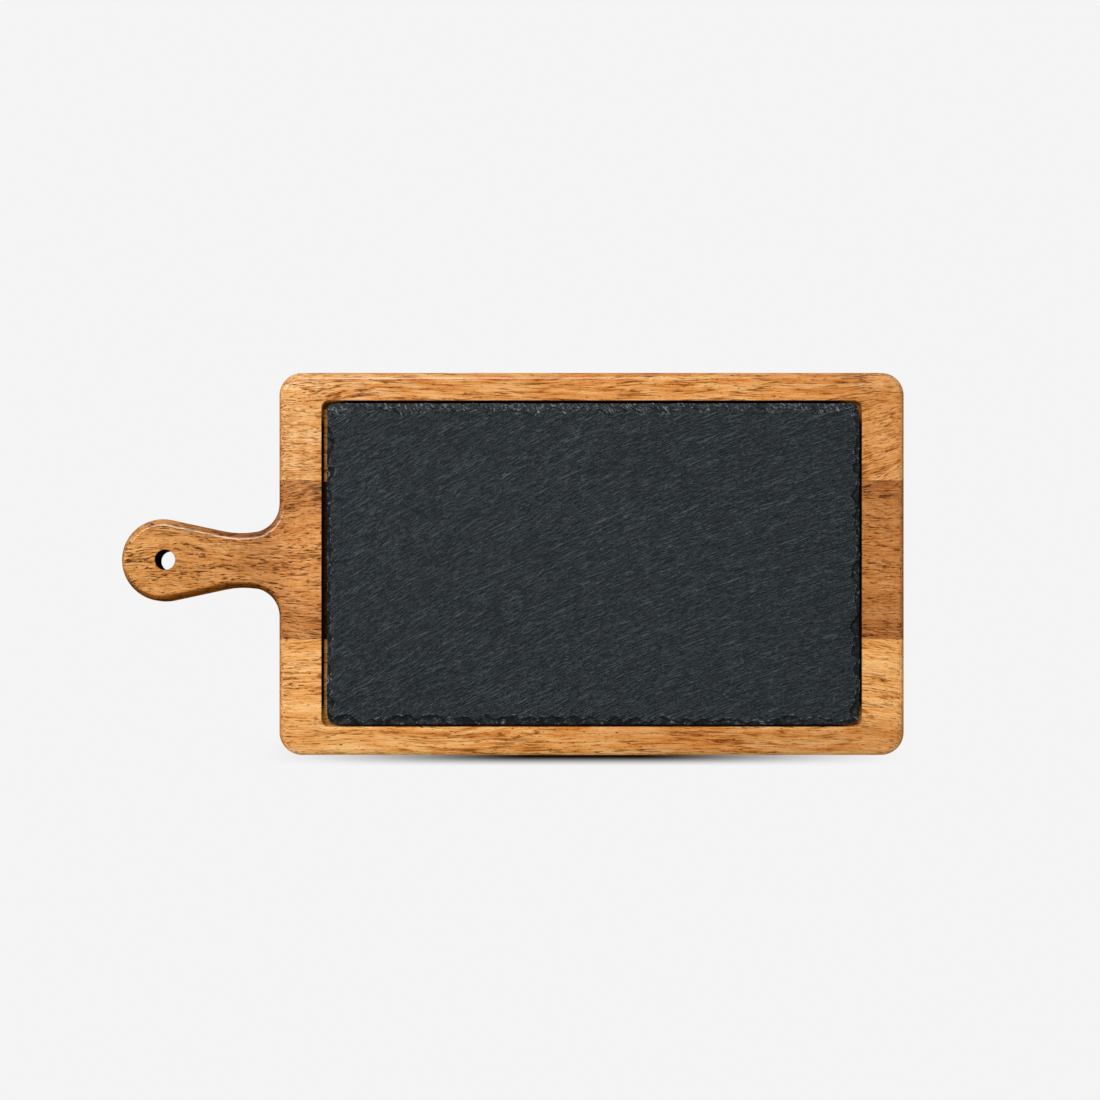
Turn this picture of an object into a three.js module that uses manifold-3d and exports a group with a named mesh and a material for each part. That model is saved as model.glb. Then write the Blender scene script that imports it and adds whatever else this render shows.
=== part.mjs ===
// A serving platter: a slab of riven slate lies loose in a pocket routed into a paddle board.
// The board is edge-glued from three acacia staves, and its handle grows out of the middle one.
// Millimetres, +Z up. The handle points to -X, and the origin is under the middle of the footprint.

import * as THREE from 'three';
import { mergeVertices } from 'three/addons/utils/BufferGeometryUtils.js';
import Module from 'manifold-3d';

// Board, without its handle
const boardLength = 327.5;
const boardWidth = 200.5;
const boardThickness = 16;
const cornerRadius = 12;
const edgeRound = 4;

// Middle stave, which carries the handle on its own centre line
const handleStaveWidth = 83;
const handleStaveOffset = 2;

// Handle: a round knob, straight tapering sides, a waist at the neck and a flare into the board
const knobRadius = 21.5;
const taperAngle = THREE.MathUtils.degToRad(12.15);
const waistRadius = 46;
const neckWidth = 28.4;
const neckToBoard = 20;
const flareRadius = 15;

// Hole to hang the board by
const hangHoleDiameter = 10.5;
const hangHoleFromTip = 23.3;
const hangHoleEase = 0.5;

// Pocket for the slate
const pocketEndWall = 22.5;
const pocketSideRail = 15;
const pocketDepth = 6.5;
const pocketCornerRadius = 4;

// Slate slab, which has slid a little towards the far end, and the flakes broken off its upper edge
const slateHandleEndGap = 2.4;
const slateFarEndGap = 0.8;
const slateSideClearance = 0.9;
const slateThickness = 5;
const slateCornerRadius = 5;
const slateUndercut = 0.8;
const slateUndercutHeight = 1.4;
const flakeMargin = 1.4;
const flakeDepth = 1.3;
const flakeHollow = 0.35;
const broadFlakes = { count: 37, reach: 2.4, shift: 0.6 };
const smallFlakes = { count: 71, reach: 1.4, shift: 1.9 };

// Stick-on pads under the slate
const padDiameter = 10;
const padThickness = 1;
const padRim = 0.3;
const padInset = 20;

// Fineness of the round stretches
const arcStep = THREE.MathUtils.degToRad(6);
const rimStep = THREE.MathUtils.degToRad(30);
const edgeRoundSteps = 6;
const holeSides = 40;
const padSides = 24;
const slateLongSteps = 96;
const slateShortSteps = 58;
const slateCornerSteps = 5;

// How far a cutting body reaches past the face that it cuts
const cutOver = 2;

// Places that follow from the sizes
const quarterTurn = Math.PI / 2;
const neckHalf = neckWidth / 2;
const knobToNeck =
  ((knobRadius + waistRadius) / Math.cos(taperAngle) - neckHalf - waistRadius) / Math.tan(taperAngle);
const handleReach = knobRadius + knobToNeck + neckToBoard;
const tipX = -(boardLength + handleReach) / 2;
const boardStartX = tipX + handleReach;
const boardEndX = boardStartX + boardLength;
const boardMiddleX = (boardStartX + boardEndX) / 2;
const halfWidth = boardWidth / 2;
const rearJointY = handleStaveOffset + handleStaveWidth / 2;
const frontJointY = handleStaveOffset - handleStaveWidth / 2;
const pocketFloorZ = boardThickness - pocketDepth;
const pocketLength = boardLength - 2 * pocketEndWall;
const pocketWidth = boardWidth - 2 * pocketSideRail;
const slateLength = pocketLength - slateHandleEndGap - slateFarEndGap;
const slateMiddleX = boardMiddleX + (slateHandleEndGap - slateFarEndGap) / 2;
const slateWidth = pocketWidth - 2 * slateSideClearance;

const wasm = await Module();
wasm.setup();

function toSolid(geometry) {
  const bare = geometry.index ? geometry.toNonIndexed() : geometry.clone();
  bare.deleteAttribute('normal');
  bare.deleteAttribute('uv');
  const merged = mergeVertices(bare);
  return new wasm.Manifold(new wasm.Mesh({
    numProp: 3,
    vertProperties: Float32Array.from(merged.attributes.position.array),
    triVerts: Uint32Array.from(merged.index.array),
  }));
}

function toGeometry(solid) {
  const mesh = solid.getMesh();
  const geometry = new THREE.BufferGeometry();
  geometry.setAttribute('position', new THREE.BufferAttribute(mesh.vertProperties, 3));
  geometry.setIndex(new THREE.BufferAttribute(mesh.triVerts, 1));
  geometry.computeVertexNormals();
  return geometry;
}

// Points along an arc from one angle to another, turning whichever way the second angle lies
function arcPoints(centreX, centreY, radius, fromAngle, toAngle, stepAngle = arcStep) {
  const steps = Math.max(2, Math.ceil(Math.abs(toAngle - fromAngle) / stepAngle));
  const points = [];
  for (let step = 0; step <= steps; step += 1) {
    const angle = fromAngle + (toAngle - fromAngle) * step / steps;
    points.push(new THREE.Vector2(
      centreX + radius * Math.cos(angle),
      centreY + radius * Math.sin(angle),
    ));
  }
  return points;
}

// Half outline of the handle above its centre line, from the board's end round to the knob's tip
function handlePoints() {
  const knobX = tipX + knobRadius;
  const neckX = knobX + knobToNeck;
  const waist = new THREE.Vector2(neckX, neckHalf + waistRadius);
  const flareX = boardStartX - flareRadius;
  const centreGap = waistRadius - flareRadius;
  const flare = new THREE.Vector2(flareX, waist.y - Math.sqrt(centreGap ** 2 - (flareX - neckX) ** 2));
  const blendAngle = flare.clone().sub(waist).angle() - 4 * quarterTurn;
  return [
    ...arcPoints(flare.x, flare.y, flareRadius, 0, blendAngle),
    ...arcPoints(waist.x, waist.y, waistRadius, blendAngle, -quarterTurn - taperAngle).slice(1),
    ...arcPoints(knobX, 0, knobRadius, quarterTurn - taperAngle, 2 * quarterTurn),
  ];
}

// Paddle outline, anticlockwise from the front right corner
function boardShape() {
  const arcX = [boardEndX - cornerRadius, boardStartX + cornerRadius];
  const arcY = halfWidth - cornerRadius;
  const upper = handlePoints();
  const lower = upper.slice(0, -1).reverse().map((point) => new THREE.Vector2(point.x, -point.y));
  const handle = [...upper, ...lower];
  handle.forEach((point) => { point.y += handleStaveOffset; });
  return new THREE.Shape([
    ...arcPoints(arcX[0], -arcY, cornerRadius, -quarterTurn, 0),
    ...arcPoints(arcX[0], arcY, cornerRadius, 0, quarterTurn),
    ...arcPoints(arcX[1], arcY, cornerRadius, quarterTurn, 2 * quarterTurn),
    ...handle,
    ...arcPoints(arcX[1], -arcY, cornerRadius, 2 * quarterTurn, 3 * quarterTurn),
  ]);
}

function boardBlank() {
  const geometry = new THREE.ExtrudeGeometry(boardShape(), {
    depth: boardThickness - 2 * edgeRound,
    bevelEnabled: true,
    bevelThickness: edgeRound,
    bevelSize: edgeRound,
    bevelOffset: -edgeRound,
    bevelSegments: edgeRoundSteps,
    steps: 1,
  });
  return toSolid(geometry.translate(0, 0, edgeRound));
}

function pocketCutter() {
  const arcX = pocketLength / 2 - pocketCornerRadius;
  const arcY = pocketWidth / 2 - pocketCornerRadius;
  const corners = [[1, -1], [1, 1], [-1, 1], [-1, -1]];
  const points = corners.flatMap(([sideX, sideY], index) => {
    const fromAngle = (index - 1) * quarterTurn;
    return arcPoints(sideX * arcX, sideY * arcY, pocketCornerRadius, fromAngle, fromAngle + quarterTurn);
  });
  const geometry = new THREE.ExtrudeGeometry(new THREE.Shape(points), {
    depth: pocketDepth + cutOver,
    bevelEnabled: false,
    steps: 1,
  });
  return toSolid(geometry.translate(boardMiddleX, 0, pocketFloorZ));
}

// The hole's rims are eased at both faces, so the cutter opens out at its ends
function hangHoleCutter() {
  const radius = hangHoleDiameter / 2;
  const mouth = radius + hangHoleEase;
  const upperRimZ = boardThickness - hangHoleEase;
  const profile = [
    new THREE.Vector2(0, -cutOver),
    new THREE.Vector2(mouth, -cutOver),
    ...arcPoints(mouth, hangHoleEase, hangHoleEase, 3 * quarterTurn, 2 * quarterTurn, rimStep),
    ...arcPoints(mouth, upperRimZ, hangHoleEase, 2 * quarterTurn, quarterTurn, rimStep),
    new THREE.Vector2(mouth, boardThickness + cutOver),
    new THREE.Vector2(0, boardThickness + cutOver),
  ];
  const geometry = new THREE.LatheGeometry(profile, holeSides);
  geometry.rotateX(quarterTurn);
  return toSolid(geometry.translate(tipX + hangHoleFromTip, handleStaveOffset, 0));
}

// A strip of the finished panel, cut along its glue joints
function staveBlock(fromY, toY) {
  const length = boardEndX - tipX + 2 * cutOver;
  const height = boardThickness + 2 * cutOver;
  const geometry = new THREE.BoxGeometry(length, toY - fromY, height);
  return toSolid(geometry.translate(0, (fromY + toY) / 2, boardThickness / 2));
}

// Stations round the slab: a place on the core rectangle and the way the edge faces there
function slateStations() {
  const sides = [
    { facing: 0, steps: slateShortSteps },
    { facing: 1, steps: slateLongSteps },
    { facing: 2, steps: slateShortSteps },
    { facing: 3, steps: slateLongSteps },
  ];
  const stations = [];
  for (const { facing, steps } of sides) {
    const face = new THREE.Vector2(Math.cos(facing * quarterTurn), Math.sin(facing * quarterTurn)).round();
    const along = new THREE.Vector2(-face.y, face.x);
    for (let step = 0; step < steps; step += 1) {
      const core = face.clone().addScaledVector(along, 2 * step / steps - 1);
      stations.push({ core, face });
    }
    for (let step = 0; step < slateCornerSteps; step += 1) {
      const angle = (facing + step / slateCornerSteps) * quarterTurn;
      const core = face.clone().add(along);
      stations.push({ core, face: new THREE.Vector2(Math.cos(angle), Math.sin(angle)) });
    }
  }
  return stations;
}

function flakeReach(turn) {
  const scallops = [broadFlakes, smallFlakes].map(
    ({ count, reach, shift }) => reach * Math.abs(Math.sin(Math.PI * count * turn + shift)),
  );
  return flakeMargin + scallops[0] + scallops[1];
}

// Rings from the underside to the top, each drawn in from the slab's full outline
function slateGeometry() {
  const stations = slateStations();
  const flakes = stations.map((station, index) => flakeReach(index / stations.length));
  const rings = [
    { z: 0, inset: () => slateUndercut },
    { z: slateUndercutHeight, inset: () => 0 },
    { z: slateThickness - flakeDepth, inset: (index) => flakeHollow * flakes[index] },
    { z: slateThickness, inset: (index) => flakes[index] },
  ];
  const outlines = rings.map(({ inset }) => stations.map(({ core, face }, index) => {
    const drawnIn = inset(index) + slateCornerRadius;
    return new THREE.Vector2(
      core.x * (slateLength / 2 - drawnIn) + face.x * slateCornerRadius,
      core.y * (slateWidth / 2 - drawnIn) + face.y * slateCornerRadius,
    );
  }));
  const count = stations.length;
  const positions = outlines.flatMap((outline, ring) => outline.flatMap(({ x, y }) => [x, y, rings[ring].z]));
  const triangles = [];
  for (let ring = 0; ring + 1 < rings.length; ring += 1) {
    for (let index = 0; index < count; index += 1) {
      const here = ring * count + index;
      const next = ring * count + (index + 1) % count;
      triangles.push(here, next, next + count, here, next + count, here + count);
    }
  }
  const topStart = (rings.length - 1) * count;
  for (const [a, b, c] of THREE.ShapeUtils.triangulateShape(outlines[0], [])) triangles.push(c, b, a);
  for (const [a, b, c] of THREE.ShapeUtils.triangulateShape(outlines[rings.length - 1], [])) {
    triangles.push(topStart + a, topStart + b, topStart + c);
  }
  const geometry = new THREE.BufferGeometry();
  geometry.setAttribute('position', new THREE.Float32BufferAttribute(positions, 3));
  geometry.setIndex(triangles);
  geometry.computeVertexNormals();
  return geometry;
}

function padGeometry() {
  const radius = padDiameter / 2;
  const profile = [
    new THREE.Vector2(0, 0),
    new THREE.Vector2(radius - padRim, 0),
    new THREE.Vector2(radius, padRim),
    new THREE.Vector2(radius, padThickness),
    new THREE.Vector2(0, padThickness),
  ];
  return new THREE.LatheGeometry(profile, padSides).rotateX(quarterTurn);
}

const finishes = {
  paleAcacia: { color: 0xd49758, roughness: 0.5, metalness: 0 },
  darkAcacia: { color: 0xb87c46, roughness: 0.5, metalness: 0 },
  rivenSlate: { color: 0x313639, roughness: 0.6, metalness: 0 },
  padRubber: { color: 0x262626, roughness: 0.7, metalness: 0 },
};

function addPiece(parent, name, geometry, finish) {
  const piece = new THREE.Mesh(geometry, new THREE.MeshStandardMaterial(finish));
  piece.name = name;
  parent.add(piece);
  return piece;
}

const platter = new THREE.Group();

const board = boardBlank().subtract(pocketCutter()).subtract(hangHoleCutter());
const staves = [
  { name: 'rear_stave', fromY: rearJointY, toY: halfWidth + cutOver, finish: finishes.paleAcacia },
  { name: 'handle_stave', fromY: frontJointY, toY: rearJointY, finish: finishes.darkAcacia },
  { name: 'front_stave', fromY: -halfWidth - cutOver, toY: frontJointY, finish: finishes.paleAcacia },
];
for (const { name, fromY, toY, finish } of staves) {
  addPiece(platter, name, toGeometry(board.intersect(staveBlock(fromY, toY))), finish);
}

// The slab and its pads lift out of the pocket together
const slate = new THREE.Group();
slate.position.set(slateMiddleX, 0, pocketFloorZ);
platter.add(slate);

addPiece(slate, 'slate_slab', slateGeometry(), finishes.rivenSlate).position.z = padThickness;

const padPlaces = [
  { name: 'slate_pad_rear_left', sideX: -1, sideY: 1 },
  { name: 'slate_pad_rear_right', sideX: 1, sideY: 1 },
  { name: 'slate_pad_front_left', sideX: -1, sideY: -1 },
  { name: 'slate_pad_front_right', sideX: 1, sideY: -1 },
];
for (const { name, sideX, sideY } of padPlaces) {
  const pad = addPiece(slate, name, padGeometry(), finishes.padRubber);
  pad.position.x = sideX * (slateLength / 2 - padInset);
  pad.position.y = sideY * (slateWidth / 2 - padInset);
}

export default platter;
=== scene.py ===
import bpy
import bmesh
import math
import random
import numpy as np
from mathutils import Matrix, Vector


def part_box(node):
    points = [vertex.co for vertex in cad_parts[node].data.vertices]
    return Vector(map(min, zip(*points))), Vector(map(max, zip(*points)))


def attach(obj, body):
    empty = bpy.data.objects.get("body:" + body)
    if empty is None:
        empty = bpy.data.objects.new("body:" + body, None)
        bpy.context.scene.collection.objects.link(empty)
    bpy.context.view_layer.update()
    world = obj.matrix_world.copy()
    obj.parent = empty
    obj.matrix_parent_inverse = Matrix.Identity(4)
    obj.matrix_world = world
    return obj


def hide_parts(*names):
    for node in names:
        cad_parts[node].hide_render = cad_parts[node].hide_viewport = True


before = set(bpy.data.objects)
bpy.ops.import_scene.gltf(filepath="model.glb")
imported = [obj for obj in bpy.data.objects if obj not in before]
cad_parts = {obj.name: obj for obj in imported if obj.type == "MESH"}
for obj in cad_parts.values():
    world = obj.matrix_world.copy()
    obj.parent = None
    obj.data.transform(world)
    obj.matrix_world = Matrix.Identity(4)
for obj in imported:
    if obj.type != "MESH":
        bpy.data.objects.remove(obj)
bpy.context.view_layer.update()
mm = 0.001
print("frame loaded:", len(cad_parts), "solids")

handleLow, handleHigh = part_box("handle_stave")
rearLow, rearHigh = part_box("rear_stave")
frontLow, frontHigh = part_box("front_stave")
slabLow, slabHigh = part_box("slate_slab")
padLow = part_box("slate_pad_rear_left")[0]
topZ = handleHigh.z            # upper face of the wood
rearJoint = rearLow.y          # glue joints between the staves
frontJoint = frontHigh.y


# shader sums

def plug(tree, value, socket):
    if isinstance(value, Wire):
        tree.links.new(value.socket, socket)
    else:
        socket.default_value = value


def pick(sockets, key):
    if isinstance(key, int):
        return sockets[key]
    named = [s for s in sockets if s.identifier == key] or [s for s in sockets if s.name == key]
    return named[0]


class Wire:                    # one output socket that takes part in sums
    def __init__(self, tree, socket=None):
        self.tree = tree
        self.socket = socket

    def node(self, kind, settings=None, sockets=None, out=0):
        made = self.tree.nodes.new(kind)
        for name, value in (settings or {}).items():
            if name == "stops":
                while len(made.color_ramp.elements) < len(value):
                    made.color_ramp.elements.new(0.5)
                for stop, (place, shade) in zip(made.color_ramp.elements, value):
                    stop.position = place
                    stop.color = shade
            else:
                setattr(made, name, value)
        for key, value in (sockets or {}).items():
            plug(self.tree, value, pick(made.inputs, key))
        return Wire(self.tree, pick(made.outputs, out) if made.outputs else None)

    def maths(self, operation, *values):
        return self.node("ShaderNodeMath", {"operation": operation}, dict(enumerate(values)))

    def __add__(self, other):
        return self.maths("ADD", self, other)

    def __radd__(self, other):
        return self.maths("ADD", other, self)

    def __sub__(self, other):
        return self.maths("SUBTRACT", self, other)

    def __rsub__(self, other):
        return self.maths("SUBTRACT", other, self)

    def __mul__(self, other):
        return self.maths("MULTIPLY", self, other)

    def __rmul__(self, other):
        return self.maths("MULTIPLY", other, self)

    def __truediv__(self, other):
        return self.maths("DIVIDE", self, other)

    def __rtruediv__(self, other):
        return self.maths("DIVIDE", other, self)

    def absolute(self):
        return self.maths("ABSOLUTE", self)

    def least(self, other):
        return self.maths("MINIMUM", self, other)

    def most(self, other):
        return self.maths("MAXIMUM", self, other)

    def rise(self, low, high):               # 0 below low, 1 above high, smooth between
        return self.node("ShaderNodeMapRange", {"interpolation_type": "SMOOTHSTEP"},
                         {"Value": self, "From Min": low, "From Max": high})

    def fall(self, low, high):               # 1 below low, 0 above high
        return 1 - self.rise(low, high)

    def point(self, x, y, z):
        return self.node("ShaderNodeCombineXYZ", None, {0: x, 1: y, 2: z})

    def parts(self, axes):
        return [self.node("ShaderNodeSeparateXYZ", None, {0: self}, axis) for axis in axes]

    def place(self):                         # object coordinates in millimetres
        spot = self.node("ShaderNodeTexCoord", None, None, "Object")
        return [part * (1 / mm) for part in spot.parts("XYZ")]

    def distance(self, x, y):
        return self.node("ShaderNodeVectorMath", {"operation": "LENGTH"},
                         {0: self.point(x, y, 0.0)}, "Value")

    def cloud(self, place, detail=2.0, rough=0.5):
        return self.node("ShaderNodeTexNoise", {"noise_dimensions": "3D"},
                         {"Vector": place, "Scale": 1.0, "Detail": detail, "Roughness": rough}, "Fac")

    def ramp(self, stops):
        return self.node("ShaderNodeValToRGB", {"stops": stops}, {0: self}, "Color")

    def mix(self, share, first, second, blend="MIX"):
        return self.node("ShaderNodeMix", {"data_type": "RGBA", "blend_type": blend},
                         {"Factor_Float": share, "A_Color": first, "B_Color": second}, "Result_Color")

    def tint(self, share, body, by):         # a tint of 1, 1, 1 leaves the body as it is
        return self.mix(share, body, by if isinstance(by, Wire) else (*by, 1), "MULTIPLY")

    def bump(self, height, strength, depth):
        return self.node("ShaderNodeBump", None,
                         {"Height": height, "Strength": strength, "Distance": depth})

    def principled(self, sockets):
        return self.node("ShaderNodeBsdfPrincipled", None, sockets)

    def overlay(self, share, first, second):
        return self.node("ShaderNodeMixShader", None, {0: share, 1: first, 2: second})

    def close(self, surface):
        self.node("ShaderNodeOutputMaterial", None, {"Surface": surface})


def colour(red, green, blue):                # screen values 0 to 255 to scene light
    def toLinear(level):
        level /= 255
        return level / 12.92 if level <= 0.04045 else ((level + 0.055) / 1.055) ** 2.4
    return (toLinear(red), toLinear(green), toLinear(blue), 1.0)


def newFinish(name):
    material = bpy.data.materials.new(name)
    material.use_nodes = True
    material.node_tree.nodes.clear()
    return material, Wire(material.node_tree)


# wooden staves

# cuts in the wood, in millimetres, placed by the solids
routed = {
    "handleGap": 2.4, "farGap": 0.8, "sideGap": 0.9,     # from the slate to the pocket's walls
    "holeFromTip": 23.3, "holeRadius": 5.25,
}
pocketStart = slabLow.x / mm - routed["handleGap"]
pocketEnd = slabHigh.x / mm + routed["farGap"]
pocketMiddle, pocketHalfX = (pocketStart + pocketEnd) / 2, (pocketEnd - pocketStart) / 2
pocketHalfY = slabHigh.y / mm + routed["sideGap"]
pocketFloor = padLow.z / mm
middleY = (rearJoint + frontJoint) / 2 / mm              # of the handle and its hole
holeX = handleLow.x / mm + routed["holeFromTip"]
holeRadius = routed["holeRadius"]

# tones run from dark to pale between the pores; drift tints the stave along its length
acacia = {
    "rear": {
        "tones": ((194, 118, 50), (216, 144, 71), (227, 161, 91), (236, 179, 115), (246, 200, 147)),
        "drift": ((-110, (0.98, 0.98, 1)), (-22, (0.87, 0.75, 0.6)),
                  (125, (0.96, 0.86, 0.72)), (190, (0.85, 0.75, 0.65))),
        "flank": (1, 1, 1), "outer": ((1.05, 1.06, 1.06), (1, 1, 1)), "rail": (0.92, 0.86, 0.78),
        "dash": (0.40, 0.28, 0.15), "pore": (80, 42, 6), "streaks": 1.45, "gap": 0.42, "run": 1.0,
        "shift": (40, 31), "bend": (152, 0.0045), "squeeze": 0, "floorStain": 0,
        "sideTint": (1.0, 1.04, 1.08), "frontTint": (1, 1, 1),
    },
    "handle": {
        "tones": ((173, 105, 42), (197, 127, 57), (212, 143, 73), (226, 161, 90), (239, 183, 117)),
        "drift": ((-195, (0.92, 0.91, 0.91)), (-150, (0.84, 0.79, 0.78)), (-131, (0.71, 0.63, 0.62)),
                  (-113, (0.97, 0.91, 0.94)), (190, (0.75, 0.65, 0.62))),
        "flank": (0.82, 0.78, 0.8), "outer": ((1, 1, 1), (1, 1, 1)), "rail": (1, 1, 1),
        "dash": (0.22, 0.155, 0.09), "pore": (48, 25, 4), "streaks": 1.3, "gap": 0.43, "run": 1.15,
        "shift": (310, 77), "bend": (0, 0), "squeeze": 0.12, "floorStain": 0.95,
        "sideTint": (0.56, 0.45, 0.36), "frontTint": (0.64, 0.55, 0.15),
    },
    "front": {
        "tones": ((199, 123, 52), (221, 148, 74), (232, 166, 94), (240, 181, 113), (247, 198, 138)),
        "drift": ((-110, (1, 1, 1)), (-20, (0.96, 0.92, 0.86)), (85, (0.82, 0.7, 0.57)), (190, (1, 1, 1))),
        "flank": (1, 1, 1), "outer": ((0.9, 0.84, 0.76), (0.78, 0.7, 0.64)), "rail": (1.03, 1.08, 1.13),
        "dash": (0.46, 0.34, 0.19), "pore": (80, 42, 6), "streaks": 1.1, "gap": 0.43, "run": 2.2,
        "shift": (690, 12), "bend": (170, -0.003), "squeeze": 0, "floorStain": 0,
        "sideTint": (1, 1, 1), "frontTint": (1.14, 1.28, 1.5),
    },
    "stops": (0.26, 0.40, 0.52, 0.66, 0.82),
    "endTint": (0.68, 0.57, 0.46),           # end grain is deeper in colour
    # walls of the pocket and of the hole darkened: partly cutter burn, partly painted shade
    "burnAndShade": (30, 16, 6), "burnAndShadeShare": 0.98, "seamShare": 0.35,
    "pocketFloorShade": (0.65, 0.64, 0.53),         # painted shade: the pocket's floor is darker and duller
    # length and width of the figure on the ends, then on the rails, and its detail and roughness
    "blotch": ((9, 2.0), (24, 2.6), 2.5, 0.6),
    "fibre": ((6.5, 0.45), (12, 0.54), 2.5, 0.65),
    "rings": ((14, 1.5), (38, 2.0), 2.0, 0.55),
    "gaps": ((4.8, 1.0), (11, 1.2), 1.5, 0.6),
    # the same for what is alike on ends and rails
    "bands": (70, 7, 2.0, 0.5), "patches": (34, 8, 1.0, 0.5),
    "fleck": (1.4, 0.55, 1.0, 0.5), "pits": (3.2, 0.58, 1.0, 0.5),
    "slowWander": (80, 24), "slowBy": (12, 5), "quickWander": (10, 5), "quickBy": 0.9,
    "middleShade": 0.56, "fleckShare": 0.4,
    "blotchShare": (0.65, 0.5), "bandShare": (0.45, 0.3),     # on the ends, and more on the rails
    "lineEdge": (0.012, 0.06), "patchShare": 0.5, "gapEdge": 0.12,
    "poreEdge": (0.66, 0.73), "poreDash": 0.06,               # pores gather along the dashes
    "dashShare": (0.85, 0.1, 0.45), "poreShare": 0.85,        # dashes: all over, rails, grip
    # places along the board and across it where one look gives way to the next
    "neck": (-185, -143, -96),               # the grain draws in where the handle is slim
    "grip": (-124, -112), "knobTop": (-192, -150), "railFade": 8,
    "flankFade": (10, 40), "outerFade": (72, 92), "outerRun": (20, 190),
    "straighten": (80, 94, 0.85),            # the bend eases off towards the outer edge
    # how far in from the walls of the pocket, out from the rim of the hole, and from a glue joint
    "rimFade": (-0.75, -0.25), "narrowWallShade": (0.2, 1.0), "wideWallShade": (3.5, 8.0), "paleCorner": (4, 13),
    "holeBurnAndShade": (-0.05, 0.35), "holeMatt": (0.4, 1.0), "seamEdge": (0.02, 0.2),
    # how far below the top each look sets in or ends, and how far above the pocket's floor
    "handledFrom": (0.005, 0.05), "sideFrom": (0.02, 0.5), "burnAndShadeFrom": (0.1, 0.5), "mattFrom": (0.6, 2.0),
    "frontUntil": (3.5, 6.0), "floorUntil": 0.8,
    # how squarely an edge faces the rear, the front, either side or either end
    "rearward": (0.0, 0.1), "frontward": (0.1, 0.6), "sideward": (0.0, 0.5), "endward": (0.4, 1.0),
    "paleKnob": 0.8,                         # the top of the knob keeps its tone
    "oiled": {"IOR": 1.15}, "oiledRough": 0.46, "poreRough": 0.2,
    "polished": {"Roughness": 0.27, "IOR": 1.5, "Specular Tint": (1, 0.96, 0.85, 1)},
    "dull": {"Roughness": 0.9, "Specular IOR Level": 0.0},
    "relief": (0.8, 0.4, 0.5), "reliefShare": 0.6, "reliefDepth": 0.2 * mm,    # fibres, dashes and pores
}


def acaciaGrain(pen, tone, x, y, z, rail):
    along, across, deep = x + tone["shift"][0], y, z + tone["shift"][1]
    if tone["squeeze"]:
        knob, neck, board = acacia["neck"]
        across = across * (1 + x.rise(knob, neck) * x.fall(neck, board) * tone["squeeze"])
    bendFrom, bendBy = tone["bend"]
    if bendBy:
        past = (x - bendFrom).most(0)
        low, high, ease = acacia["straighten"]
        across = across - past * past * bendBy * (1 - y.rise(low, high) * ease)

    def wander(length, width):
        return pen.cloud(pen.point(along / length, across / width, deep / width), 1.0) - 0.5

    slow, quick = wander(*acacia["slowWander"]), wander(*acacia["quickWander"])
    line = across + slow * acacia["slowBy"][0] + quick * acacia["quickBy"]      # the grain wanders
    layer = deep + slow * acacia["slowBy"][1]

    def grain(length, width, detail, rough):
        return pen.cloud(pen.point(along / length, line / width, layer / width), detail, rough)

    def railed(name, run=1.0):                       # one figure on the ends, a longer one on the rails
        (length, width), railSize, detail, rough = acacia[name]
        ends = grain(length * run, width, detail, rough)
        return ends + (grain(*railSize, detail, rough) - ends) * rail

    blotch, fibre, rings = [railed(name, tone["run"]) - 0.5 for name in ("blotch", "fibre", "rings")]
    bands, patches, fleck = [grain(*acacia[name]) - 0.5 for name in ("bands", "patches", "fleck")]
    lines = rings.absolute().fall(*acacia["lineEdge"])          # thin dark lines, broken into dashes
    whole = railed("gaps") + patches * acacia["patchShare"]
    dashes = lines * whole.rise(tone["gap"], tone["gap"] + acacia["gapEdge"])
    pores = (grain(*acacia["pits"]) + dashes * acacia["poreDash"]).rise(*acacia["poreEdge"])
    blotchEnds, blotchRails = acacia["blotchShare"]
    bandEnds, bandRails = acacia["bandShare"]
    shade = (acacia["middleShade"] + blotch * (blotchEnds + rail * blotchRails)
             + bands * (bandEnds + rail * bandRails)
             + fibre * tone["streaks"] + fleck * acacia["fleckShare"])
    return shade, fibre, dashes, pores


def acaciaColour(pen, tone, x, y, rail, shade, dashes, pores):
    body = shade.ramp([(place, colour(*tint)) for place, tint in zip(acacia["stops"], tone["tones"])])
    grip = x.fall(*acacia["grip"])                   # the handle is marked the most
    allOver, onRails, onGrip = acacia["dashShare"]
    body = pen.tint(dashes * (allOver + rail * onRails + grip * onGrip), body, tone["dash"])
    body = pen.tint(rail, body, tone["rail"])
    body = pen.mix(pores * acacia["poreShare"], body, colour(*tone["pore"]))
    first, last = tone["drift"][0][0], tone["drift"][-1][0]
    drift = ((x - first) / (last - first)).ramp(
        [((place - first) / (last - first), (*tint, 1)) for place, tint in tone["drift"]])
    body = pen.tint(1.0, body, drift)
    body = pen.tint((y - middleY).absolute().rise(*acacia["flankFade"]), body, tone["flank"])
    nearTint, farTint = tone["outer"]
    outer = pen.mix(x.rise(*acacia["outerRun"]), (*nearTint, 1), (*farTint, 1))
    return pen.tint(y.absolute().rise(*acacia["outerFade"]), body, outer)


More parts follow.
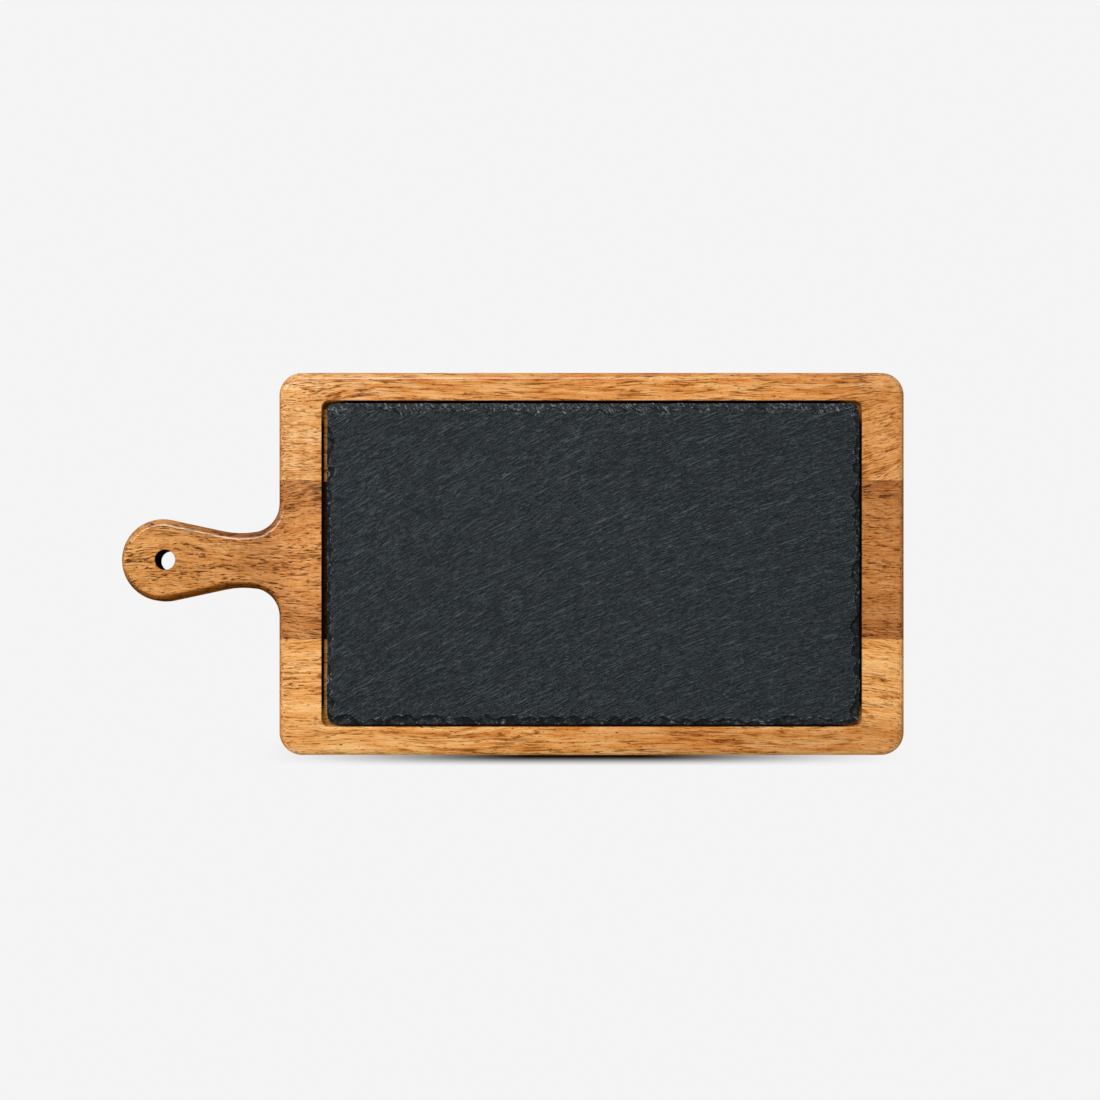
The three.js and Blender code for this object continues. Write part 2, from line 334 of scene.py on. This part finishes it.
def cutterBurnAndShade(pen, tone, x, y, z, below):          # the walls of the pocket and of the hole, and the pocket's floor along its walls, are darkened: partly cutter burn, partly painted shade in the recess
    fromEnd = pocketHalfX - (x - pocketMiddle).absolute()
    fromSide = pocketHalfY - y.absolute()
    inside = (fromEnd.rise(*acacia["rimFade"]) * fromSide.rise(*acacia["rimFade"])
              * z.rise(pocketFloor - 2, pocketFloor - 1))              # and not on the underside
    onFloor = z.fall(pocketFloor, pocketFloor + acacia["floorUntil"])
    fromWall, fromCorner = fromEnd.least(fromSide), fromEnd.most(fromSide)
    # painted shade on the pocket's floor along its walls
    wideWallShade = fromWall.fall(*acacia["wideWallShade"]) * tone["floorStain"]
    clearFloor = onFloor * (1 - fromWall.fall(*acacia["narrowWallShade"]).most(wideWallShade))
    wall = below.rise(*acacia["burnAndShadeFrom"]) * (1 - clearFloor) * fromCorner.rise(*acacia["paleCorner"])
    fromHole = pen.distance(x - holeX, y - middleY) - holeRadius
    burnAndShade = (inside * wall).most(fromHole.fall(*acacia["holeBurnAndShade"])) * acacia["burnAndShadeShare"]
    return inside, onFloor, fromHole, burnAndShade


def acaciaFinish(name, tone):
    material, pen = newFinish(name)
    x, y, z = pen.place()
    below = topZ / mm - z
    fade = acacia["railFade"]
    rail = x.rise(pocketStart - fade, pocketStart + fade) * x.fall(pocketEnd - fade, pocketEnd + fade)
    shade, fibre, dashes, pores = acaciaGrain(pen, tone, x, y, z, rail)
    body = acaciaColour(pen, tone, x, y, rail, shade, dashes, pores)
    inside, onFloor, fromHole, burnAndShade = cutterBurnAndShade(pen, tone, x, y, z, below)

    # the outer edges, by the way they face, with painted light and shade on the rounded edges
    facingX, facingY = pen.node("ShaderNodeNewGeometry", None, None, "Normal").parts("XY")
    rearward = facingY.rise(*acacia["rearward"])
    frontward = (0 - facingY).rise(*acacia["frontward"])
    sideward = facingY.absolute().rise(*acacia["sideward"])
    endward = facingX.absolute().rise(*acacia["endward"])
    handled = below.rise(*acacia["handledFrom"]) * (1 - inside) * rearward      # polished by handling
    side = below.rise(*acacia["sideFrom"]) * (1 - inside)
    pale = rearward * x.fall(*acacia["knobTop"]) * acacia["paleKnob"]
    # painted light and shade on the rounded edges: paler on the rear stave, darker on the handle
    body = pen.tint(side * sideward * (1 - pale), body, tone["sideTint"])
    # painted shade on the handle's front-facing edges, painted light on the front stave's
    body = pen.tint(side * frontward * below.fall(*acacia["frontUntil"]), body, tone["frontTint"])
    body = pen.tint(side * endward, body, acacia["endTint"])

    seam = (y - rearJoint / mm).absolute().least((y - frontJoint / mm).absolute())
    body = pen.mix(seam.fall(*acacia["seamEdge"]) * acacia["seamShare"], body, colour(*tone["pore"]))
    # painted shade on the pocket's floor
    body = pen.tint(inside * onFloor, body, acacia["pocketFloorShade"])
    # painted shade and cutter burn on the walls of the pocket and of the hole
    body = pen.mix(burnAndShade, body, colour(*acacia["burnAndShade"]))

    fibreHigh, dashDeep, poreDeep = acacia["relief"]
    relief = fibre * fibreHigh - dashes * dashDeep - pores * poreDeep
    oiled = pen.principled({
        "Base Color": body,
        "Roughness": acacia["oiledRough"] + pores * acacia["poreRough"],
        "Normal": pen.bump(relief, acacia["reliefShare"], acacia["reliefDepth"]),
        **acacia["oiled"],
    })
    polished = pen.principled({"Base Color": body, **acacia["polished"]})
    dull = pen.principled({"Base Color": body, **acacia["dull"]})
    matt = burnAndShade.most(below.rise(*acacia["mattFrom"])).most(fromHole.fall(*acacia["holeMatt"]))
    pen.close(pen.overlay(matt, pen.overlay(handled, oiled, polished), dull))
    return material


stave = {
    "rimEase": 0.35 * mm, "rimSteps": 3, "flat": math.radians(0.6), "crisp": math.radians(35),
    "weld": 2e-6, "level": 1e-5,             # how near points count as one, or as on the same face
}


def staveBody(name, node, finish):
    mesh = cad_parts[node].data.copy()
    mesh.name = name
    mesh.materials.clear()
    bm = bmesh.new()
    bm.from_mesh(mesh)
    bmesh.ops.remove_doubles(bm, verts=bm.verts, dist=stave["weld"])
    bmesh.ops.dissolve_limit(bm, angle_limit=stave["flat"], verts=bm.verts, edges=bm.edges)

    def onTop(edge):
        return all(v.co.z > topZ - stave["level"] for v in edge.verts)

    def onJoint(edge):
        return any(all(abs(v.co.y - joint) < stave["level"] for v in edge.verts)
                   for joint in (rearJoint, frontJoint))

    rim = [e for e in bm.edges if onTop(e) and not onJoint(e) and e.calc_face_angle(0.0) > stave["crisp"]]
    bmesh.ops.bevel(bm, geom=rim, offset=stave["rimEase"], segments=stave["rimSteps"],
                    profile=0.5, affect="EDGES", clamp_overlap=True)
    bm.to_mesh(mesh)
    bm.free()
    mesh.materials.append(finish)
    mesh.shade_smooth()
    mesh.set_sharp_from_angle(angle=stave["crisp"])

    piece = bpy.data.objects.new(name, mesh)
    bpy.context.scene.collection.objects.link(piece)
    even = piece.modifiers.new("evenNormals", "WEIGHTED_NORMAL")
    even.keep_sharp = True
    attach(piece, "board")
    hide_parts(node)


staveBody("rearStave", "rear_stave", acaciaFinish("rearAcacia", acacia["rear"]))
staveBody("handleStave", "handle_stave", acaciaFinish("handleAcacia", acacia["handle"]))
staveBody("frontStave", "front_stave", acaciaFinish("frontAcacia", acacia["front"]))
print("three staves dressed")


# riven slate slab, worked in millimetres about its own middle

slab = {
    "corner": 5.0,
    "edgeBand": 7.0, "edgeStepX": 0.33, "edgeStepY": 0.30, "stepX": 1.35, "stepY": 0.58,
    "slopeMiddle": 0.465, "slopeChange": -0.0013,     # run of the cleavage strokes across the slab
    "strokeHeight": 0.075, "ridgeShare": 0.45, "fineHeight": 0.03, "swellHeight": 0.02, "sink": 0.2,
    # length along the strokes, width across them, and seed
    "strokes": (5.5, 1.3, 1), "ridges": (8.0, 1.8, 2), "fine": (2.6, 1.0, 4), "swell": (34, 7, 6),
    # size and seed of what runs no way
    "wideSway": (24, 3), "closeSway": (7.5, 5), "patch": (16, 7),
    "wideJag": (6, 71), "closeJag": (1.9, 72),
    "closeSwayBy": 0.3, "patchMiddle": 0.8, "patchBy": 0.5,
    "undercut": 0.8, "undercutHeight": 1.4, "leastEdge": 1.9, "crisp": math.radians(30),
    "jag": 0.55, "jagBand": 2.5,                      # how far the broken outline steps back
    "jagMiddle": 0.5, "closeJagBy": 0.5, "jagMost": 1.4,
}
strokeLean = math.cos(math.atan(slab["slopeMiddle"]))

# flakes knocked off the sides: how often, how far in, how wide and how deep
flakes = {
    "rear": {"every": 5.5, "reach": (2.2, 6.8), "half": (4.0, 10.0), "deep": (0.9, 2.4)},
    "front": {"every": 5.0, "reach": (2.4, 5.8), "half": (3.5, 8.5), "deep": (1.0, 2.5)},
    "left": {"every": 4.0, "reach": (1.2, 4.4), "half": (2.0, 5.5), "deep": (1.2, 2.8)},
    "right": {"every": 4.2, "reach": (1.5, 5.4), "half": (2.5, 6.5), "deep": (1.0, 2.6)},
    "chips": {"every": 2.4, "reach": (0.6, 2.6), "half": (0.8, 2.6), "deep": (0.6, 1.6)},
    "slant": 0.7, "band": 12, "seed": 11,
    "manySmall": 1.2, "outline": 1.5,        # above 1, more flakes are small, and a flake is rounder
    "curve": (0.5, 2.2),                     # a flake starts steep and flattens over this far
    "ragged": 0.8, "wideRag": 2.6, "closeRag": 1.1, "closeRagShare": 0.4,
    "rough": 0.14, "wideRough": (2.8, 62), "closeRough": (1.0, 61),    # size and seed
    "full": 0.3, "smoother": 0.7,            # a flake this deep has lost this share of the riven top
    "bruise": 1.0, "bruiseWide": 0.8,
    "crest": 0.4, "leastSteep": 0.05,        # how wide the pale bruise and painted glint along a ridge is
    "far": 9.0,                              # stands for no other flake near by
}


def hillField(u, v, seed):                   # smooth noise, about -0.7 to 0.7
    baseU, baseV = np.floor(u), np.floor(v)
    partU, partV = u - baseU, v - baseV

    def slopeAt(stepU, stepV):               # the usual sine hash turns each slope its own way
        mixed = (baseU + stepU) * 127.1 + (baseV + stepV) * 311.7 + seed * 74.7
        turn = np.mod(np.sin(mixed) * 43758.5453, 1.0) * 2 * math.pi
        return np.cos(turn) * (partU - stepU) + np.sin(turn) * (partV - stepV)

    easeU = partU ** 3 * (partU * (partU * 6 - 15) + 10)
    easeV = partV ** 3 * (partV * (partV * 6 - 15) + 10)
    near = slopeAt(0, 0) * (1 - easeU) + slopeAt(1, 0) * easeU
    far = slopeAt(0, 1) * (1 - easeU) + slopeAt(1, 1) * easeU
    return near * (1 - easeV) + far * easeV


def hills(x, y, size, seed):
    return hillField(x / size, y / size, seed)


def gridLines(half, band, fine, coarse):
    edge = np.linspace(0, band, round(band / fine) + 1)
    inside = np.linspace(band - half, half - band, round((half - band) * 2 / coarse) + 1)
    return np.concatenate([edge - half, inside[1:-1], half - edge[::-1]])


def roundCorners(x, y, halfX, halfY, radius):
    partX = np.clip((np.abs(x) - (halfX - radius)) / radius, 0, 1)
    partY = np.clip((np.abs(y) - (halfY - radius)) / radius, 0, 1)
    pulled = (partX > 0) & (partY > 0)
    newX = halfX - radius + radius * partX * np.sqrt(1 - partY ** 2 / 2)
    newY = halfY - radius + radius * partY * np.sqrt(1 - partX ** 2 / 2)
    return np.where(pulled, np.sign(x) * newX, x), np.where(pulled, np.sign(y) * newY, y)


def edgeDistance(x, y, halfX, halfY, radius):
    outX = np.abs(x) - (halfX - radius)
    outY = np.abs(y) - (halfY - radius)
    beyond = np.hypot(np.maximum(outX, 0), np.maximum(outY, 0))
    return radius - beyond - np.minimum(np.maximum(outX, outY), 0)


def acrossStrokes(x, y):                     # for points of the mesh and for wires alike
    rising = x * slab["slopeMiddle"] + x * x * (slab["slopeChange"] / 2)
    return (y - rising) * strokeLean


def rivenRelief(x, y):
    sway = hills(x, y, *slab["wideSway"]) + hills(x, y, *slab["closeSway"]) * slab["closeSwayBy"]
    along, across = x / strokeLean, acrossStrokes(x, y) + sway

    def streaks(kind):
        length, width, seed = slab[kind]
        return hillField(along / length, across / width, seed)

    patch = slab["patchMiddle"] + slab["patchBy"] * hills(x, y, *slab["patch"])
    ridges = 0.5 - 2 * np.abs(streaks("ridges"))
    return (slab["strokeHeight"] * patch * (streaks("strokes") + slab["ridgeShare"] * ridges)
            + slab["fineHeight"] * streaks("fine") + slab["swellHeight"] * streaks("swell"))


def flakeCuts(halfX, halfY):                 # where each flake sits, its two ways and its own sizes
    rng = random.Random(flakes["seed"])
    sides = {
        "rear": ((0, halfY), (1, 0), (0, -1), halfX),
        "front": ((0, -halfY), (1, 0), (0, 1), halfX),
        "left": ((-halfX, 0), (0, 1), (1, 0), halfY),
        "right": ((halfX, 0), (0, 1), (-1, 0), halfY),
    }

    def between(limits, share):
        return limits[0] + share * (limits[1] - limits[0])

    cuts = []
    for side, (middle, run, inward, span) in sides.items():
        for kind in (flakes[side], flakes["chips"]):
            for count in range(int(2 * span / kind["every"])):
                offset = (count + rng.random()) * kind["every"] - span
                share = rng.random() ** flakes["manySmall"]
                reach = between(kind["reach"], share)
                half = between(kind["half"], 0.5 * rng.random() + 0.5 * share)
                deep = between(kind["deep"], 0.5 * rng.random() + 0.5 * share)
                curve = between(flakes["curve"], rng.random())
                slant = rng.uniform(-1, 1) * flakes["slant"]
                spot = (middle[0] + run[0] * offset, middle[1] + run[1] * offset)
                cuts.append((spot, run, inward, reach, half, deep, curve, slant))
    return cuts


def flakeDrop(x, y, distance, cuts):         # depth of the deepest flake, and how much it leads the next
    def rag(wideSeed, closeSeed):
        close = hills(x, y, flakes["closeRag"], closeSeed) * flakes["closeRagShare"]
        return flakes["ragged"] * (hills(x, y, flakes["wideRag"], wideSeed) + close)

    wobbleX, wobbleY = x + rag(8, 81), y + rag(9, 91)
    deepest = np.maximum(0, flakes["bruise"] * (1 - distance / flakes["bruiseWide"]))
    second = np.full_like(deepest, -flakes["far"])
    for spot, run, inward, reach, half, deep, curve, slant in cuts:
        awayX, awayY = wobbleX - spot[0], wobbleY - spot[1]
        sideways = awayX * run[0] + awayY * run[1]
        fromEdge = awayX * inward[0] + awayY * inward[1]
        rounded = 1 - np.abs(sideways / half) ** flakes["outline"]
        fall = reach * rounded - fromEdge - slant * sideways
        cut = deep * np.where(fall > 0, 1 - np.exp(-np.maximum(fall, 0) / curve), fall / curve)
        second = np.maximum(second, np.minimum(deepest, cut))
        deepest = np.maximum(deepest, cut)
    return deepest, deepest - second


def brokenOutline(x, y, distance, halfX, halfY, radius):
    outX = np.maximum(np.abs(x) - (halfX - radius), 0)
    outY = np.maximum(np.abs(y) - (halfY - radius), 0)
    length = np.maximum(np.hypot(outX, outY), 1e-6)
    close = slab["closeJagBy"] * hills(x, y, *slab["closeJag"])
    back = np.clip(slab["jagMiddle"] + hills(x, y, *slab["wideJag"]) + close, 0, slab["jagMost"])
    back = slab["jag"] * back * np.clip(1 - distance / slab["jagBand"], 0, 1)
    return x - np.sign(x) * outX / length * back, y - np.sign(y) * outY / length * back


def slabTop(linesX, linesY, halfX, halfY, thick):    # the outline, the broken top, and its marks
    gridX, gridY = roundCorners(*np.meshgrid(linesX, linesY), halfX, halfY, slab["corner"])
    x, y = gridX.ravel(), gridY.ravel()
    distance = edgeDistance(x, y, halfX, halfY, slab["corner"])
    near = distance < flakes["band"]
    drop = np.zeros_like(x)
    lead = np.full_like(x, flakes["far"])
    drop[near], lead[near] = flakeDrop(x[near], y[near], distance[near], flakeCuts(halfX, halfY))
    steepY, steepX = np.gradient(lead.reshape(gridX.shape), linesY, linesX)
    toRidge = lead / np.maximum(np.hypot(steepX, steepY).ravel(), flakes["leastSteep"])
    crest = np.exp(-(toRidge / flakes["crest"]) ** 2)
    broken = np.clip(drop / flakes["full"], 0, 1)
    rough = hills(x, y, *flakes["closeRough"]) + hills(x, y, *flakes["wideRough"])
    relief = rivenRelief(x, y) * (1 - flakes["smoother"] * broken) + flakes["rough"] * rough * broken
    height = np.maximum(thick - slab["sink"] + relief - drop, slab["leastEdge"])
    brokenX, brokenY = brokenOutline(x, y, distance, halfX, halfY, slab["corner"])
    top = np.column_stack([brokenX, brokenY, height])
    return np.column_stack([x, y]), top, {"wear": crest, "broken": broken}


def slabFaces(number, ring):                 # the grid on top, two bands round the side, and the base
    countY, countX = number.shape
    faces = [(number[j, i], number[j, i + 1], number[j + 1, i + 1], number[j + 1, i])
             for j in range(countY - 1) for i in range(countX - 1)]
    waistStart = number.size
    baseStart = waistStart + len(ring)
    for here in range(len(ring)):
        after = (here + 1) % len(ring)
        faces.append((waistStart + here, waistStart + after, ring[after], ring[here]))
        faces.append((baseStart + here, baseStart + after, waistStart + after, waistStart + here))
    faces.append(tuple(baseStart + here for here in range(len(ring) - 1, -1, -1)))
    return [tuple(int(v) for v in face) for face in faces]


def slateSlab():
    middle = (slabLow + slabHigh) / 2
    halfX, halfY = (slabHigh.x - slabLow.x) / 2 / mm, (slabHigh.y - slabLow.y) / 2 / mm
    thick = (slabHigh.z - slabLow.z) / mm
    linesX = gridLines(halfX, slab["edgeBand"], slab["edgeStepX"], slab["stepX"])
    linesY = gridLines(halfY, slab["edgeBand"], slab["edgeStepY"], slab["stepY"])
    grid, top, marks = slabTop(linesX, linesY, halfX, halfY, thick)

    number = np.arange(len(top)).reshape(len(linesY), len(linesX))
    ring = np.concatenate([number[0, :-1], number[:-1, -1], number[-1, :0:-1], number[:0:-1, 0]])
    outline = grid[ring]
    inset = outline * (1 - slab["undercut"] / np.array([halfX, halfY]))
    waist = np.column_stack([(outline + top[ring, :2]) / 2, np.full(len(ring), slab["undercutHeight"])])
    base = np.column_stack([inset, np.zeros(len(ring))])
    points = np.vstack([top, waist, base]) + np.array([middle.x, middle.y, slabLow.z]) / mm

    mesh = bpy.data.meshes.new("slateSlab")
    mesh.from_pydata((points * mm).tolist(), [], slabFaces(number, ring))
    mesh.validate()
    mesh.shade_smooth()
    mesh.set_sharp_from_angle(angle=slab["crisp"])
    for name, values in marks.items():
        kept = mesh.attributes.new(name, "FLOAT", "POINT")
        kept.data.foreach_set("value", np.concatenate([values, np.zeros(len(points) - len(top))]))
    return mesh


riven = {
    # length along the strokes, width across them, and detail
    "strokes": (9, 0.9, 0.0), "lines": (12, 0.55, 0.5), "breaks": (2.4, 0.5, 0.0),
    # size, detail and roughness of what runs no way
    "sway": (8, 1.0), "clouds": (45, 3.0), "grit": (0.5, 1.0, 0.6),
    "pits": (3.5, 2.0), "scuffAndGlintPatches": (2.2, 2.0),
    "swayBy": 0.7, "breakShare": 0.65, "splinter": (0.8, 2.8, 2), "splinterLean": (0.7, 0.4),
    "shares": (0.1, 0.15, 0.45, 0.95),       # of clouds, strokes, ticks and grit in the tone
    "tones": ((0.2, (8, 14, 17)), (0.5, (26, 35, 40)), (0.8, (52, 62, 67))),
    "paintedGlint": (72, 82, 87), "paintedGlintShare": 0.2, "scuffAndGlint": (118, 127, 131),
    "freshDark": (18, 24, 28), "freshPale": (156, 164, 168), "freshAndLitRear": 0.85, "freshFront": 0.4,
    "hollowShade": (4, 6, 8), "hollowShadeShare": 0.95,
    "rearBand": (7, 10), "frontBand": (6, 9),         # how far the fresh breaks reach in
    "relief": (0.85, 0.9, 0.65), "depth": 0.48 * mm,  # of strokes, ticks and grit in the bump
    "rough": 0.43, "gritRough": 0.3, "hollowShadeRough": 0.4,
    # where the noise turns into a mark
    "strokeEdge": (0.4, 0.6), "tickEdge": (0.38, 0.62), "paintedGlintEdge": (0.72, 0.88),
    "pitEdge": (0.33, 0.56), "splinterEdge": (0.54, 0.78),
    "scuffAndGlintPatchEdge": (0.4, 0.62), "bruiseAndGlintEdge": (0.2, 0.95),
}


def slateFinish():
    material, pen = newFinish("rivenSlate")
    x, y, z = pen.place()

    def patchy(name):
        size, *rest = riven[name]
        return pen.cloud(pen.point(x / size, y / size, z / size), *rest)

    along = x / strokeLean
    sway = (patchy("sway") - 0.5) * riven["swayBy"]
    across = acrossStrokes(x - (slabLow.x + slabHigh.x) / 2 / mm, y) + sway

    def stroked(name):
        length, width, detail = riven[name]
        return pen.cloud(pen.point(along / length, across / width, z / length), detail)

    strokes, grit = stroked("strokes"), patchy("grit")
    ticks = stroked("lines") + (stroked("breaks") - 0.5) * riven["breakShare"]
    layers = (patchy("clouds"), strokes, ticks, grit)
    tone = sum(((layer - 0.5) * share for layer, share in zip(layers, riven["shares"])), 0.5)
    body = tone.ramp([(place, colour(*tint)) for place, tint in riven["tones"]])
    # painted glints on the highest ticks
    paintedGlints = ticks.rise(*riven["paintedGlintEdge"]) * riven["paintedGlintShare"]
    body = pen.mix(paintedGlints, body, colour(*riven["paintedGlint"]))

    # fresh breaks are pale, more at the rear than at the front, where the rear's extra paleness is painted
    # light; the hollows get painted shade
    wear, broken = [pen.node("ShaderNodeAttribute", {"attribute_name": name}, None, "Fac")
                    for name in ("wear", "broken")]
    fromRear, fromFront = slabHigh.y / mm - y, y - slabLow.y / mm
    rear = fromRear.fall(*riven["rearBand"])
    front = fromFront.fall(*riven["frontBand"])
    wide, long, deep = riven["splinter"]
    leanX, leanY = riven["splinterLean"]
    splinter = pen.cloud(pen.point((x + y * leanX) / wide, (y - x * leanY) / long, z / deep), 2.0)
    fresh = pen.mix(splinter.rise(*riven["splinterEdge"]),
                    colour(*riven["freshDark"]), colour(*riven["freshPale"]))
    body = pen.mix(broken * (rear * riven["freshAndLitRear"] + front * riven["freshFront"]), body, fresh)
    # painted shade in the hollows of the front and side breaks
    hollowShade = broken * (1 - rear) * patchy("pits").rise(*riven["pitEdge"])
    body = pen.mix(hollowShade * riven["hollowShadeShare"], body, colour(*riven["hollowShade"]))
    # pale bruises along the ridges, partly painted glints
    scuffedAndGlinting = wear.rise(*riven["bruiseAndGlintEdge"]) * patchy("scuffAndGlintPatches").rise(*riven["scuffAndGlintPatchEdge"])
    body = pen.mix(scuffedAndGlinting, body, colour(*riven["scuffAndGlint"]))

    strokeRelief, tickRelief, gritRelief = riven["relief"]
    cleft = ((strokes.rise(*riven["strokeEdge"]) - 0.5) * strokeRelief
             + (ticks.rise(*riven["tickEdge"]) - 0.5) * tickRelief) * (1 - broken * flakes["smoother"])
    pen.close(pen.principled({
        "Base Color": body,
        "Roughness": riven["rough"] + (grit - 0.5) * riven["gritRough"] + hollowShade * riven["hollowShadeRough"],
        "Normal": pen.bump(cleft + grit * gritRelief, 1.0, riven["depth"]),
        "IOR": 1.4,
    }))
    return material


slabMesh = slateSlab()
slabMesh.materials.append(slateFinish())
slabPiece = bpy.data.objects.new("slateSlab", slabMesh)
bpy.context.scene.collection.objects.link(slabPiece)
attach(slabPiece, "slate")
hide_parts("slate_slab")
print("slate slab laid in:", len(slabMesh.polygons), "faces")


# pads under the slate

pad = {
    "grain": 0.4, "dark": (34, 34, 34), "pale": (48, 48, 47),
    "rough": 0.6, "grainRough": 0.2, "grainShare": 0.3, "grainDepth": 0.05 * mm,
}


def padFinish():
    material, pen = newFinish("padRubber")
    grain = pen.cloud(pen.point(*[part / pad["grain"] for part in pen.place()]), 2.0)
    pen.close(pen.principled({
        "Base Color": pen.mix(grain, colour(*pad["dark"]), colour(*pad["pale"])),
        "Roughness": pad["rough"] + grain * pad["grainRough"],
        "Normal": pen.bump(grain, pad["grainShare"], pad["grainDepth"]),
    }))
    return material


rubber = padFinish()
for padNode in [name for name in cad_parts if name.startswith("slate_pad")]:
    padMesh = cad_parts[padNode].data
    padMesh.materials.clear()
    padMesh.materials.append(rubber)
print("pads dressed")


# camera, floor and light

view = {
    "foot": (19.5 * mm, -50.4 * mm),         # the point straight below the lens
    "above": 900 * mm,                       # from the wood's upper face to the lens
    "pixel": 0.5226 * mm,                    # one pixel of the photograph on that face
    "pixels": 1100, "sensor": 36.0, "shiftUp": 0.1, "clip": (0.05, 20),
}


def camera():
    data = bpy.data.cameras.new("camera")
    data.sensor_width = view["sensor"]
    data.lens = view["sensor"] * view["above"] / view["pixel"] / view["pixels"]
    data.shift_y = view["shiftUp"]
    data.clip_start, data.clip_end = view["clip"]
    thing = bpy.data.objects.new("camera", data)
    thing.location = (*view["foot"], topZ + view["above"])
    bpy.context.scene.collection.objects.link(thing)
    bpy.context.scene.camera = thing


studio = {
    "keyPower": 77.5, "keyWide": 2.0, "keyDeep": 0.8, "keyFar": 3.0, "keyLean": 20.0, "keyAside": -0.25,
    "sky": 0.33,
    "floorSize": 6.0, "floorDrop": 0.3 * mm,
    "paper": (248, 248, 248), "bounce": (236, 234, 230), "shade": (44, 38, 27),
    "glow": 0.97,                            # share of the paper's own light, out of the shadow
    "shadowLeft": (-142, 10), "shadowRight": (65, 215), "shadowFront": (-6.9, -1.6), "shadowBack": (4, 8),
    "underShade": (-3.5, -0.6), "cornerShade": 12,      # dark where the wood meets the floor
    "gripHalf": 14.2, "gripTip": -200,
    "openFloor": (5, 7),                     # the hole shows open floor, out to past its rim
}


def floorShade(pen, x, y):                   # 1 in the shadow along the front, and under the wood
    fromFront = y - frontLow.y / mm
    shadow = (x.rise(*studio["shadowLeft"]) * x.fall(*studio["shadowRight"])
              * fromFront.rise(*studio["shadowFront"]) * fromFront.fall(*studio["shadowBack"]))
    boardX, boardY = (rearLow.x + rearHigh.x) / 2 / mm, (rearHigh.y + frontLow.y) / 2 / mm
    halfX, halfY = (rearHigh.x - rearLow.x) / 2 / mm, (rearHigh.y - frontLow.y) / 2 / mm
    corner = studio["cornerShade"]
    pastX = (x - boardX).absolute() - (halfX - corner)
    pastY = (y - boardY).absolute() - (halfY - corner)
    fromBoard = pen.distance(pastX.most(0), pastY.most(0)) + pastX.most(pastY).least(0) - corner
    fromGrip = ((y - middleY).absolute() - studio["gripHalf"]).most(studio["gripTip"] - x).most(x - boardX)
    under = fromBoard.least(fromGrip).fall(*studio["underShade"])
    fromHole = pen.distance(x - holeX, y - middleY) - holeRadius
    return shadow.most(under * fromHole.rise(*studio["openFloor"]))


def floor():
    material, pen = newFinish("paper")
    x, y = pen.place()[:2]
    seen, glossy = [pen.node("ShaderNodeLightPath", None, None, ray)
                    for ray in ("Is Camera Ray", "Is Glossy Ray")]
    bounce = pen.node("ShaderNodeBsdfDiffuse", None, {"Color": colour(*studio["bounce"])})
    shade = pen.node("ShaderNodeBsdfDiffuse", None, {"Color": colour(*studio["shade"])})
    shine = pen.node("ShaderNodeEmission", None, {"Color": colour(*studio["paper"]), "Strength": 1.0})
    visible = pen.overlay((1 - floorShade(pen, x, y)) * studio["glow"], shade, shine)
    pen.close(pen.overlay(seen.most(glossy), bounce, visible))

    half = studio["floorSize"] / 2
    mesh = bpy.data.meshes.new("floor")
    corners = [(-half, -half, 0), (half, -half, 0), (half, half, 0), (-half, half, 0)]
    mesh.from_pydata(corners, [], [(0, 1, 2, 3)])
    mesh.materials.append(material)
    thing = bpy.data.objects.new("floor", mesh)
    thing.location.z = -studio["floorDrop"]
    bpy.context.scene.collection.objects.link(thing)


def light():
    data = bpy.data.lights.new("softbox", "AREA")
    data.shape = "RECTANGLE"
    data.size, data.size_y = studio["keyWide"], studio["keyDeep"]
    data.energy = studio["keyPower"]
    thing = bpy.data.objects.new("softbox", data)
    lean = math.radians(studio["keyLean"])
    aim = Vector((view["foot"][0], 0, topZ))
    way = Vector((studio["keyAside"], math.sin(lean), math.cos(lean))).normalized()
    thing.location = aim + way * studio["keyFar"]
    thing.rotation_euler = (-way).to_track_quat("-Z", "Y").to_euler()
    bpy.context.scene.collection.objects.link(thing)


def surround():
    world = bpy.data.worlds.new("studio")
    bpy.context.scene.world = world
    world.use_nodes = True
    world.node_tree.nodes.clear()
    pen = Wire(world.node_tree)
    seen = pen.node("ShaderNodeLightPath", None, None, "Is Camera Ray")
    sky = pen.node("ShaderNodeBackground", None, {"Color": (1, 1, 1, 1), "Strength": studio["sky"]})
    backdrop = pen.node("ShaderNodeBackground", None, {"Color": colour(*studio["paper"]), "Strength": 1.0})
    pen.node("ShaderNodeOutputWorld", None, {"Surface": pen.overlay(seen, sky, backdrop)})


camera()
floor()
light()
surround()
bpy.context.scene.view_settings.view_transform = "Standard"
print("camera, floor and light set")
